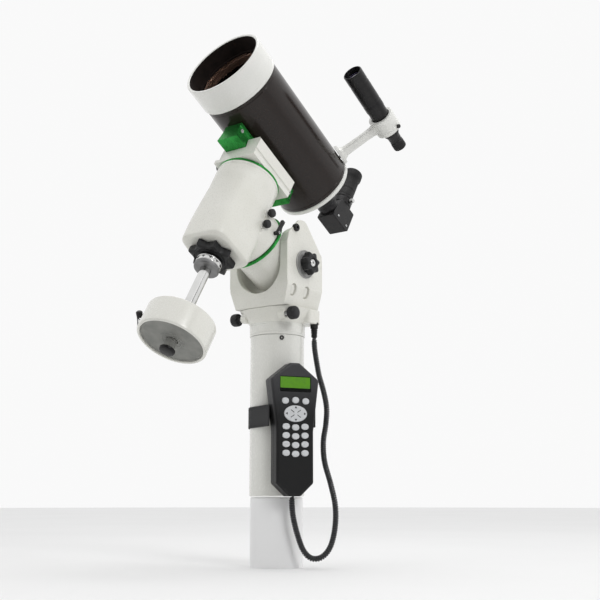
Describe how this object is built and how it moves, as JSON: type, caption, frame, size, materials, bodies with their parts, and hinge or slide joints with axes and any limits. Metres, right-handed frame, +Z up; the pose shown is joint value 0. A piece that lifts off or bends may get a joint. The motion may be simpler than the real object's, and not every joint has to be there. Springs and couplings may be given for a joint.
{
  "type": "equatorial mount",
  "caption": "Dual-axis equatorial mount on a pier column with counterweight, dovetail saddle carrying a short telescope, and strapped hand controller.",
  "frame": {"origin": "centre of the pier column's flat underside", "axes": "+Z up, the celestial pole towards -Y and up at 30.5 degrees, +X to the star-knob side, altitude hinge along X"},
  "size_m": [0.2279, 0.5468, 0.8647],
  "materials": {
    "enamel": "gloss off-white enamel on cast aluminium",
    "painted_steel": "gloss off-white enamel on steel",
    "green_anodised": "green anodised aluminium",
    "black_plastic": "moulded black plastic",
    "black_enamel": "gloss black enamel",
    "steel": "machined steel",
    "bright_steel": "polished plated steel",
    "aluminium": "turned aluminium",
    "brass": "machined brass",
    "glass": "coated optical glass",
    "mirror": "aluminised glass",
    "circuit_board": "solder-masked board",
    "display_window": "clear window over a green display",
    "key_rubber": "light grey silicone",
    "webbing": "woven black band",
    "cord_rubber": "black sheathed lead"
  },
  "bodies": {
    "pier": {"pier_column": "painted_steel", "pier_set_screw": "black_plastic", "azimuth_base": "enamel", "cord_strain_relief": "cord_rubber", "handset_cord": "cord_rubber", "handset_rear_shell": "black_plastic", "handset_front_shell": "black_plastic", "handset_circuit_board": "circuit_board", "handset_display": "display_window", "handset_strap": "webbing"},
    "azimuth_knob_left": {"azimuth_knob_left": "black_plastic"},
    "azimuth_knob_right": {"azimuth_knob_right": "black_plastic"},
    "keypad": {"handset_keypad": "key_rubber"},
    "direction_pad": {"handset_direction_pad": "key_rubber"},
    "fork": {"fork_casting": "enamel", "azimuth_pivot_bolt": "steel", "altitude_pivot_left": "steel", "altitude_pivot_right": "steel", "arm_screw": "black_plastic"},
    "altitude_lock_knob": {"altitude_lock_knob": "black_plastic"},
    "ra_unit": {"ra_housing": "enamel", "ra_bearing_front": "steel", "ra_bearing_rear": "steel", "ra_motor": "aluminium"},
    "ra_worm": {"ra_worm": "steel"},
    "ra_worm_wheel": {"ra_worm_wheel": "brass"},
    "dec_unit": {"ra_shaft": "steel", "polar_scope": "black_plastic", "ra_trim_ring": "green_anodised", "dec_housing": "enamel", "dec_bearing_lower": "steel", "dec_bearing_upper": "steel", "dec_motor": "aluminium"},
    "ra_clutch_lever": {"ra_clutch_lever": "black_plastic"},
    "thumb_screw_upper": {"thumb_screw_upper": "black_plastic"},
    "thumb_screw_lower": {"thumb_screw_lower": "black_plastic"},
    "dec_worm": {"dec_worm": "steel"},
    "dec_worm_wheel": {"dec_worm_wheel": "brass"},
    "dec_clutch_ring": {"dec_clutch_ring": "black_plastic"},
    "saddle": {"dec_shaft": "steel", "dec_trim_ring": "green_anodised", "saddle_base": "enamel", "counterweight_shaft": "bright_steel", "shaft_lock_nut": "bright_steel", "shaft_end_cap": "black_plastic"},
    "saddle_jaw": {"saddle_jaw": "enamel"},
    "saddle_knob": {"saddle_knob": "black_plastic"},
    "counterweight": {"counterweight": "painted_steel"},
    "counterweight_knob": {"counterweight_knob": "aluminium"},
    "telescope": {"dovetail_bar": "green_anodised", "telescope_tube": "black_enamel", "telescope_front_cell": "enamel", "telescope_corrector": "glass", "telescope_rear_cell": "enamel", "telescope_mirror": "mirror", "finder_bracket": "enamel", "finder_scope": "black_plastic"},
    "focus_knob": {"telescope_focus_knob": "black_plastic"},
    "diagonal": {"star_diagonal": "black_plastic", "eyepiece": "black_plastic"}
  },
  "joints": [
    {"name": "azimuth_turn", "type": "hinge", "parent": "pier", "child": "fork", "pos_m": [0, 0, 0.3075], "axis": [0, 0, 1], "range_deg": [-8, 8]},
    {"name": "azimuth_knob_left_turn", "type": "hinge", "parent": "pier", "child": "azimuth_knob_left", "pos_m": [-0.0545, -0.035, 0.294], "axis": [-1, 0, 0], "continuous": true},
    {"name": "azimuth_knob_right_turn", "type": "hinge", "parent": "pier", "child": "azimuth_knob_right", "pos_m": [0.0545, -0.035, 0.294], "axis": [1, 0, 0], "continuous": true},
    {"name": "keypad_press", "type": "slide", "parent": "pier", "child": "keypad", "axis": [-0.8746, 0.4848, 0], "range_m": [0, 0.0008], "stiffness_N_per_m": 900},
    {"name": "direction_pad_press", "type": "slide", "parent": "pier", "child": "direction_pad", "axis": [-0.8746, 0.4848, 0], "range_m": [0, 0.0008], "stiffness_N_per_m": 700},
    {"name": "altitude_tilt", "type": "hinge", "parent": "fork", "child": "ra_unit", "pos_m": [0, -0.005, 0.38], "axis": [-1, 0, 0], "range_deg": [-15.5, 29.5]},
    {"name": "altitude_lock_turn", "type": "hinge", "parent": "fork", "child": "altitude_lock_knob", "pos_m": [0.07, -0.005, 0.38], "axis": [1, 0, 0], "range_deg": [-180, 180]},
    {"name": "ra_worm_turn", "type": "hinge", "parent": "ra_unit", "child": "ra_worm", "pos_m": [0, -0.05414, 0.37146], "axis": [1, 0, 0], "continuous": true},
    {"name": "ra_worm_wheel_turn", "type": "hinge", "parent": "ra_unit", "child": "ra_worm_wheel", "pos_m": [0, -0.03774, 0.39929], "axis": [0, -0.8616, 0.5075], "continuous": true},
    {"name": "right_ascension", "type": "hinge", "parent": "ra_unit", "child": "dec_unit", "pos_m": [0, -0.005, 0.38], "axis": [0, -0.8616, 0.5075], "range_deg": [-95, 95]},
    {"name": "ra_clutch_swing", "type": "hinge", "parent": "dec_unit", "child": "ra_clutch_lever", "pos_m": [0.0545, -0.0735, 0.42035], "axis": [1, 0, 0], "range_deg": [0, 32]},
    {"name": "thumb_screw_upper_turn", "type": "hinge", "parent": "dec_unit", "child": "thumb_screw_upper", "pos_m": [0.055, -0.08481, 0.45139], "axis": [1, 0, 0], "range_deg": [-180, 180]},
    {"name": "thumb_screw_lower_turn", "type": "hinge", "parent": "dec_unit", "child": "thumb_screw_lower", "pos_m": [0.055, -0.09699, 0.43071], "axis": [1, 0, 0], "range_deg": [-180, 180]},
    {"name": "dec_worm_turn", "type": "hinge", "parent": "dec_unit", "child": "dec_worm", "pos_m": [0, -0.07608, 0.46365], "axis": [1, 0, 0], "continuous": true},
    {"name": "dec_worm_wheel_turn", "type": "hinge", "parent": "dec_unit", "child": "dec_worm_wheel", "pos_m": [0, -0.10219, 0.47903], "axis": [0, 0.5075, 0.8616], "continuous": true},
    {"name": "dec_clutch_turn", "type": "hinge", "parent": "dec_unit", "child": "dec_clutch_ring", "pos_m": [0, -0.16614, 0.37046], "axis": [0, 0.5075, 0.8616], "range_deg": [-30, 30]},
    {"name": "declination", "type": "hinge", "parent": "dec_unit", "child": "saddle", "pos_m": [0, -0.12046, 0.44801], "axis": [0, 0.5075, 0.8616], "continuous": true},
    {"name": "saddle_knob_turn", "type": "hinge", "parent": "saddle", "child": "saddle_knob", "pos_m": [-0.045, -0.09834, 0.54466], "axis": [-1, 0, 0], "range_deg": [0, 540]},
    {"name": "saddle_jaw_open", "type": "slide", "parent": "saddle", "child": "saddle_jaw", "axis": [-1, 0, 0], "range_m": [0, 0.0015]},
    {"name": "counterweight_slide", "type": "slide", "parent": "saddle", "child": "counterweight", "axis": [0, 0.5075, 0.8616], "range_m": [0, 0.09]},
    {"name": "counterweight_knob_turn", "type": "hinge", "parent": "counterweight", "child": "counterweight_knob", "pos_m": [0, -0.23516, 0.25328], "axis": [-0.9397, -0.2947, 0.1736], "continuous": true},
    {"name": "telescope_slide", "type": "slide", "parent": "saddle", "child": "telescope", "axis": [0, -0.8616, 0.5075], "range_m": [-0.02, 0.02]},
    {"name": "focus_turn", "type": "hinge", "parent": "telescope", "child": "focus_knob", "pos_m": [-0.034, 0.1245, 0.56833], "axis": [0, -0.8616, 0.5075], "continuous": true},
    {"name": "diagonal_turn", "type": "hinge", "parent": "telescope", "child": "diagonal", "pos_m": [0, 0.15642, 0.524], "axis": [0, -0.8616, 0.5075], "continuous": true}
  ],
  "couplings": [
    {"joint": "ra_worm_turn", "follows": "ra_worm_wheel_turn", "ratio": -144},
    {"joint": "dec_worm_turn", "follows": "dec_worm_wheel_turn", "ratio": -144},
    {"joint": "saddle_knob_turn", "follows": "saddle_jaw_open", "rad_per_m": 6283.2}
  ]
}
